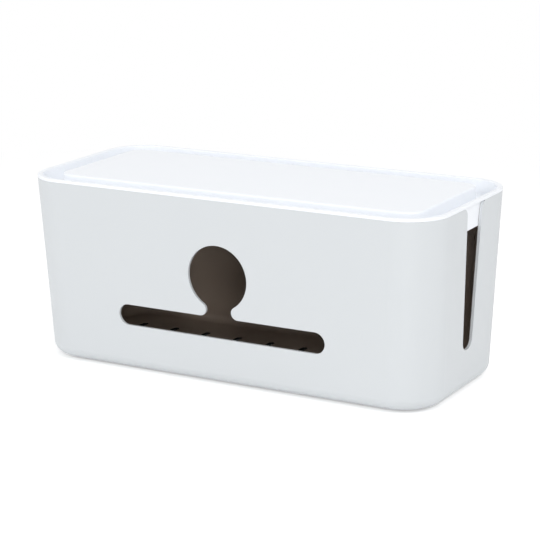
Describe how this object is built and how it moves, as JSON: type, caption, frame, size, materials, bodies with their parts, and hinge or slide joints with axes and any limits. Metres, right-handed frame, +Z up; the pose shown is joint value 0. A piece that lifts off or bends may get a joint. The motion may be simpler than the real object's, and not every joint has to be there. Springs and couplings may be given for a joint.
{
  "type": "cable management box",
  "caption": "Long white box with a lift-off lid that hides a power strip. It has a plug window in front, cord slots in the ends, and a groove round the lid's table for a phone.",
  "frame": {"origin": "on the surface that the box stands on, midway between the four feet", "axes": "+X along the box's length, +Y from the front wall with the window to the back wall, +Z up"},
  "size_m": [0.4, 0.175, 0.1677],
  "materials": {
    "shell_plastic": "smooth satin moulded plastic, cool white",
    "lid_plastic": "smooth satin moulded plastic, a brighter white than the shell",
    "foot_rubber": "matte dark rubber"
  },
  "bodies": {
    "box": {"shell": "shell_plastic", "foot_front_left": "foot_rubber", "foot_front_right": "foot_rubber", "foot_rear_left": "foot_rubber", "foot_rear_right": "foot_rubber"},
    "lid": {"lid": "lid_plastic"}
  },
  "joints": [
    {"name": "lid_lift", "type": "slide", "parent": "box", "child": "lid", "axis": [0, 0, 1], "range_m": [0, 0.18]}
  ]
}
